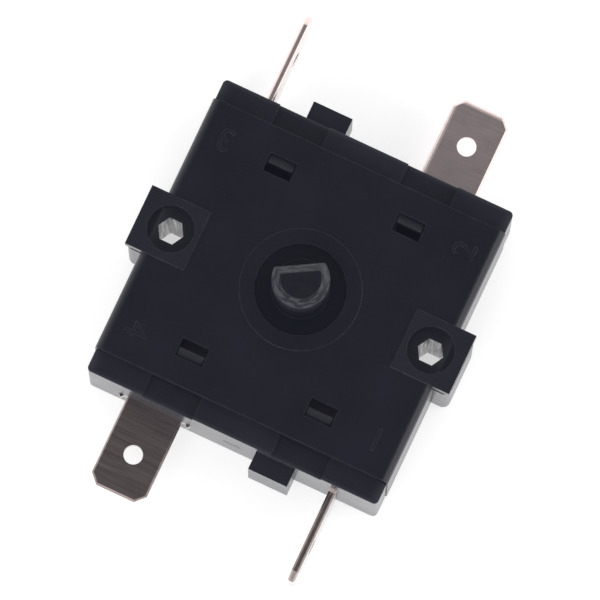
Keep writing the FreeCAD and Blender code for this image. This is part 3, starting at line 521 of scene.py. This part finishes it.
def surface_mesh(name, points):
    """A mesh of quads over a grid of points, rows by columns; each row closes on itself."""
    rows, columns = points.shape[:2]
    number = np.arange(rows * columns).reshape(rows, columns)
    number = np.concatenate([number, number[:, :1]], axis=1)
    quads = np.stack([number[:-1, :-1], number[:-1, 1:], number[1:, 1:], number[1:, :-1]], axis=-1)
    mesh = bpy.data.meshes.new(name)
    mesh.from_pydata(points.reshape(-1, 3), [], quads.reshape(-1, 4).tolist())
    mesh.polygons.foreach_set("use_smooth", np.ones(len(mesh.polygons), bool))
    mesh.update()
    return mesh


def rounded_copy(name, node, radius, body, slot, material):
    """A copy of a CAD node with rounded edges: merged, its flat faces joined, then bevelled by angle."""
    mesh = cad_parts[node].data.copy()
    mesh.name = name
    for stale in ("custom_normal", "sharp_edge", "sharp_face"):
        mesh.attributes.remove(mesh.attributes[stale])
    work = bmesh.new()
    work.from_mesh(mesh)
    bmesh.ops.remove_doubles(work, verts=work.verts, dist=0.001 * MM)
    bmesh.ops.dissolve_limit(work, angle_limit=math.radians(1.0), verts=work.verts, edges=work.edges)
    work.to_mesh(mesh)
    work.free()
    mesh.polygons.foreach_set("use_smooth", np.ones(len(mesh.polygons), bool))
    piece = new_piece(name, mesh, body, slot, material, node)
    bevel = piece.modifiers.new("edge_rounding", "BEVEL")
    bevel.width = radius
    bevel.segments = 2
    bevel.limit_method = "ANGLE"
    bevel.angle_limit = math.radians(30)
    bevel.use_clamp_overlap = True
    level = piece.modifiers.new("level_faces", "WEIGHTED_NORMAL")
    level.keep_sharp = True
    return piece


def coil(name, node, axis, wire, turns, body, slot, material):
    """A compression spring: a round wire carried along a helix that lies flat at both ends.

    Along the wire, t from 0 to 1 turns by t times the turns. It climbs evenly between the first and
    the last half turn, and only a little within them, so that the pitch closes at the ends. Round
    the wire, a circle lies in the plane across the helix.
    """
    low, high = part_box(node)
    centre = np.array((low + high) / 2)
    side = 0 if axis != 0 else 1
    outer = (high[side] - low[side]) / 2
    radius = outer - wire / 2
    free = (high[axis] - low[axis]) - wire
    along = np.linspace(0.0, 1.0, int(turns * STEPS_PER_TURN) + 1)
    around = np.linspace(0.0, 2 * math.pi, WIRE_SIDES, endpoint=False)
    ends = 0.5 / turns
    climb = np.clip((along - ends) / (1 - 2 * ends), 0.0, 1.0)
    climb = climb * 0.9 + 0.1 * along
    turn = 2 * math.pi * turns * along
    path = np.stack([radius * np.cos(turn), radius * np.sin(turn), free * (climb - 0.5)], axis=-1)
    tangent = np.gradient(path, axis=0)
    tangent /= np.linalg.norm(tangent, axis=1, keepdims=True)
    outward = np.stack([np.cos(turn), np.sin(turn), np.zeros_like(turn)], axis=-1)
    upward = np.cross(tangent, outward)
    ring = (np.cos(around)[None, :, None] * outward[:, None]
            + np.sin(around)[None, :, None] * upward[:, None])
    points = path[:, None] + wire / 2 * ring
    points = np.concatenate([path[:1, None].repeat(len(around), 1), points,
                             path[-1:, None].repeat(len(around), 1)], axis=0)
    order = {0: [2, 0, 1], 1: [0, 2, 1], 2: [0, 1, 2]}[axis]
    points = points[..., order] + centre
    mesh = surface_mesh(name, points)
    tidy(mesh)
    return new_piece(name, mesh, body, slot, material, node)


def tidy(mesh):
    """Merges doubled points and turns every face outwards."""
    work = bmesh.new()
    work.from_mesh(mesh)
    bmesh.ops.remove_doubles(work, verts=work.verts, dist=0.0002 * MM)
    bmesh.ops.recalc_face_normals(work, faces=work.faces)
    work.to_mesh(mesh)
    work.free()


def raised_number(name, text, x, y, low, turn, material):
    """A plain raised number: the font's outline, thickened and rounded, on the cover's face."""
    numbers = settings("numbers")
    curve = bpy.data.curves.new(name, "FONT")
    curve.body = text
    curve.size = numbers.size
    curve.align_x = "CENTER"
    curve.align_y = "CENTER"
    curve.extrude = numbers.proud / 2
    curve.bevel_depth = numbers.proud / 3
    curve.bevel_resolution = 1
    curve.resolution_u = 5
    shape = bpy.data.objects.new(name + "_outline", curve)
    bpy.context.scene.collection.objects.link(shape)
    bpy.context.view_layer.update()
    mesh = bpy.data.meshes.new_from_object(shape.evaluated_get(bpy.context.evaluated_depsgraph_get()))
    mesh.name = name
    bpy.data.objects.remove(shape)
    mesh.transform(Matrix.Translation(Vector((x, y, low))) @ Matrix.Rotation(turn, 4, "Z"))
    tidy(mesh)
    return new_piece(name, mesh, "housing", "cover_plastic", material)


# Operators

class SWITCH_OT_housing(bpy.types.Operator):
    """Rounds the moulded edges of the base and the cover and gives them their plastics"""

    bl_idname = "switch.housing"
    bl_label = "Housing"

    def execute(self, context):
        plastic = settings("plastic")
        base = moulded_plastic("base_plastic", plastic.base, plastic.roughness, streaks=0.2, is_base=1.0)
        cover = moulded_plastic("cover_plastic", plastic.cover, plastic.roughness, streaks=0.1)
        rounded_copy("base_moulding", "housing_base", plastic.edge_round, "housing",
                     "base_plastic", base)
        rounded_copy("cover_moulding", "housing_cover", plastic.edge_round, "housing",
                     "cover_plastic", cover)
        return {"FINISHED"}


class SWITCH_OT_rotor(bpy.types.Operator):
    """Rounds the rotor's edges and gives it its scuffed plastic"""

    bl_idname = "switch.rotor"
    bl_label = "Rotor"

    def execute(self, context):
        plastic = settings("plastic")
        rounded_copy("rotor_moulding", "rotor_shaft", plastic.edge_round, "rotor", "rotor_plastic",
                     scuffed_shaft("rotor_plastic"))
        return {"FINISHED"}


class SWITCH_OT_terminals(bpy.types.Operator):
    """Rounds the stamped edges of the four terminals and plates them"""

    bl_idname = "switch.terminals"
    bl_label = "Terminals"

    def execute(self, context):
        metal = settings("metal")
        # The front tabs and the rear upright tab take the painted-dark copy of the plating, the rear flat
        # tab the painted-light copy
        colours = {"front": metal.tab_dark, "rear": metal.tab_light}
        for kind, across, plating in (("flat", 0, {"front": "tab_dark", "rear": "tab_light"}),
                                      ("upright", 2, {"front": "tab_dark", "rear": "tab_dark"})):
            for end in FRONT_BACK:
                node = f"terminal_{kind}_{end}"
                material = stamped_metal(f"{node}_plating", colours[end], across,
                                         lines=1.0 if end == "front" else 0.1,
                                         bevels=1.0 if node == "terminal_flat_rear" else 0.0)
                rounded_copy(f"{kind}_tab_{end}", node, metal.edge_round, "housing",
                             plating[end], material)
        return {"FINISHED"}


class SWITCH_OT_contacts(bpy.types.Operator):
    """Gives the sliding bridges, their silver buttons and the detent balls their metals"""

    bl_idname = "switch.contacts"
    bl_label = "Contacts and balls"

    def execute(self, context):
        metal = settings("metal")
        finishes = {
            "contact_bridge": stamped_metal("bridge_copper", metal.bridge, 1, lines=0.6),
            "contact_button": drawn_metal("contact_silver", metal.silver, 0.28, 0.12 * MM),
            "detent_ball": drawn_metal("ball_steel", metal.steel, 0.12, 0.20 * MM),
        }
        for name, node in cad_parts.items():
            for start, material in finishes.items():
                if name.startswith(start):
                    node.data.materials.clear()
                    node.data.materials.append(material)
        return {"FINISHED"}


class SWITCH_OT_springs(bpy.types.Operator):
    """Winds the four springs from round wire with closed ends"""

    bl_idname = "switch.springs"
    bl_label = "Springs"

    def execute(self, context):
        material = drawn_metal("spring_steel", settings("metal").steel, 0.24, 0.08 * MM)
        for letter in "ab":
            coil(f"bridge_coil_{letter}", f"bridge_spring_{letter}", 2, BRIDGE_WIRE, BRIDGE_TURNS,
                 "rotor", "spring_steel", material)
        for end in FRONT_BACK:
            coil(f"detent_coil_{end}", f"detent_spring_{end}", 1, DETENT_WIRE, DETENT_TURNS,
                 "housing", "spring_steel", material)
        return {"FINISHED"}


class SWITCH_OT_numbers(bpy.types.Operator):
    """Raises a plain number beside each terminal"""

    bl_idname = "switch.numbers"
    bl_label = "Numbers"

    def execute(self, context):
        numbers = settings("numbers")
        plastic = settings("plastic")
        material = moulded_plastic("number_plastic", plastic.cover, plastic.roughness)
        x = cover_high.x - EAR_REACH - numbers.inset_x
        y = cover_high.y - numbers.inset_y
        corners = ((x, -y), (x, y), (-x, y), (-x, -y))
        plate_top = cover_high.z - EAR_PROUD
        for quarter, (left, low) in enumerate(corners):
            number = str(quarter + 1)
            raised_number("number_" + number, number, left, low, plate_top,
                          quarter * math.pi / 2, material)
        return {"FINISHED"}


class SWITCH_OT_studio(bpy.types.Operator):
    """Lays a white floor and sets up soft lights and the camera"""

    bl_idname = "switch.studio"
    bl_label = "Studio"

    def execute(self, context):
        studio = settings("studio")
        self.floor(studio)
        self.sky()
        self.lamp("key_light", KEY_PLACE, KEY_WIDTH, studio.key)
        self.lamp("fill_light", FILL_PLACE, FILL_WIDTH, studio.fill)
        self.camera(studio)
        context.scene.view_settings.view_transform = "Standard"
        return {"FINISHED"}

    def floor(self, studio):
        """A wide sheet that shows white to the camera and in reflections, and keeps the soft shadow."""
        reach, drop = FLOOR_REACH, FLOOR_DROP
        mesh = bpy.data.meshes.new("floor")
        corners = [(-reach, -reach, -drop), (reach, -reach, -drop),
                   (reach, reach, -drop), (-reach, reach, -drop)]
        mesh.from_pydata(corners, [], [(0, 1, 2, 3)])
        graph = new_graph("floor_white")
        seen = graph.node("ShaderNodeLightPath", output="Is Camera Ray")
        seen = seen.most(graph.node("ShaderNodeLightPath", output="Is Glossy Ray"))
        seen = seen.most(graph.node("ShaderNodeLightPath", output="Is Transmission Ray"))
        sheet = graph.node("ShaderNodeBsdfPrincipled", sockets={
            "Base Color": (studio.floor, studio.floor, studio.floor, 1.0), "Roughness": 0.4})
        glow = graph.node("ShaderNodeEmission", sockets={"Strength": studio.glow})
        bright = graph.node("ShaderNodeAddShader", sockets={0: sheet, 1: glow})
        both = graph.node("ShaderNodeMixShader", sockets={0: seen, 1: sheet, 2: bright})
        graph.node_output("ShaderNodeOutputMaterial", both)
        mesh.materials.append(graph.owner)
        floor = bpy.data.objects.new("floor", mesh)
        bpy.context.scene.collection.objects.link(floor)

    def sky(self):
        """White round the horizon and below, greyer overhead."""
        world = bpy.data.worlds.new("studio_sky")
        bpy.context.scene.world = world
        graph = Graph(world)
        way = graph.node("ShaderNodeTexCoord", output="Generated")
        rise = graph.node("ShaderNodeSeparateXYZ", sockets={0: way}, output="Z")
        shade = graph.mix(rise.between(*HORIZON_TO_OVERHEAD), HORIZON, OVERHEAD)
        light = graph.node("ShaderNodeBackground", sockets={"Color": shade, "Strength": 1.0})
        graph.node_output("ShaderNodeOutputWorld", light)

    def lamp(self, name, place, size, power):
        """A square soft light that faces the object."""
        light = bpy.data.lights.new(name, "AREA")
        light.shape = "SQUARE"
        light.size = size
        light.energy = power
        lamp = bpy.data.objects.new(name, light)
        bpy.context.scene.collection.objects.link(lamp)
        lamp.location = place
        lamp.rotation_euler = (-Vector(place)).to_track_quat("-Z", "Y").to_euler()

    def camera(self, studio):
        """The camera looks along its azimuth and elevation, rolled and shifted to frame the switch."""
        flat = math.cos(studio.elevation)
        back = Vector((flat * math.cos(studio.azimuth), flat * math.sin(studio.azimuth),
                       math.sin(studio.elevation)))
        right = Vector((0, 0, 1)).cross(back).normalized()
        up = back.cross(right)
        right, up = (right * math.cos(studio.roll) + up * math.sin(studio.roll),
                     up * math.cos(studio.roll) - right * math.sin(studio.roll))
        data = bpy.data.cameras.new("camera")
        data.sensor_width = SENSOR_WIDTH
        data.lens = studio.lens
        camera = bpy.data.objects.new("camera", data)
        bpy.context.scene.collection.objects.link(camera)
        turned = Matrix((right, up, back)).transposed().to_4x4()
        place = back * studio.distance + right * studio.side_step + up * studio.lift
        camera.matrix_world = Matrix.Translation(place) @ turned
        bpy.context.scene.camera = camera


class SWITCH_PT_panel(bpy.types.Panel):
    """Lists the switch's operators and settings"""

    bl_idname = "SWITCH_PT_panel"
    bl_label = "Selector switch"
    bl_space_type = "VIEW_3D"
    bl_region_type = "UI"
    bl_category = "Switch"

    def draw(self, context):
        for operator in OPERATORS:
            self.layout.operator(operator.bl_idname)
        for group, kind in GROUPS.items():
            box = self.layout.box()
            box.label(text=kind.__doc__)
            for name in kind.__annotations__:
                box.prop(settings(group), name)


GROUPS = {
    "plastic": PlasticSettings,
    "metal": MetalSettings,
    "numbers": NumberSettings,
    "studio": StudioSettings,
}
OPERATORS = (
    SWITCH_OT_housing,
    SWITCH_OT_rotor,
    SWITCH_OT_terminals,
    SWITCH_OT_contacts,
    SWITCH_OT_springs,
    SWITCH_OT_numbers,
    SWITCH_OT_studio,
)


def register():
    for group, kind in GROUPS.items():
        bpy.utils.register_class(kind)
        setattr(bpy.types.Scene, "switch_" + group, PointerProperty(type=kind))
    for kind in (*OPERATORS, SWITCH_PT_panel):
        bpy.utils.register_class(kind)


def unregister():
    for kind in (SWITCH_PT_panel, *reversed(OPERATORS)):
        bpy.utils.unregister_class(kind)
    for group, kind in GROUPS.items():
        delattr(bpy.types.Scene, "switch_" + group)
        bpy.utils.unregister_class(kind)


def main():
    register()
    bpy.ops.switch.housing()
    bpy.ops.switch.rotor()
    bpy.ops.switch.terminals()
    bpy.ops.switch.contacts()
    bpy.ops.switch.springs()
    bpy.ops.switch.numbers()
    bpy.ops.switch.studio()


if __name__ == "__main__":
    main()
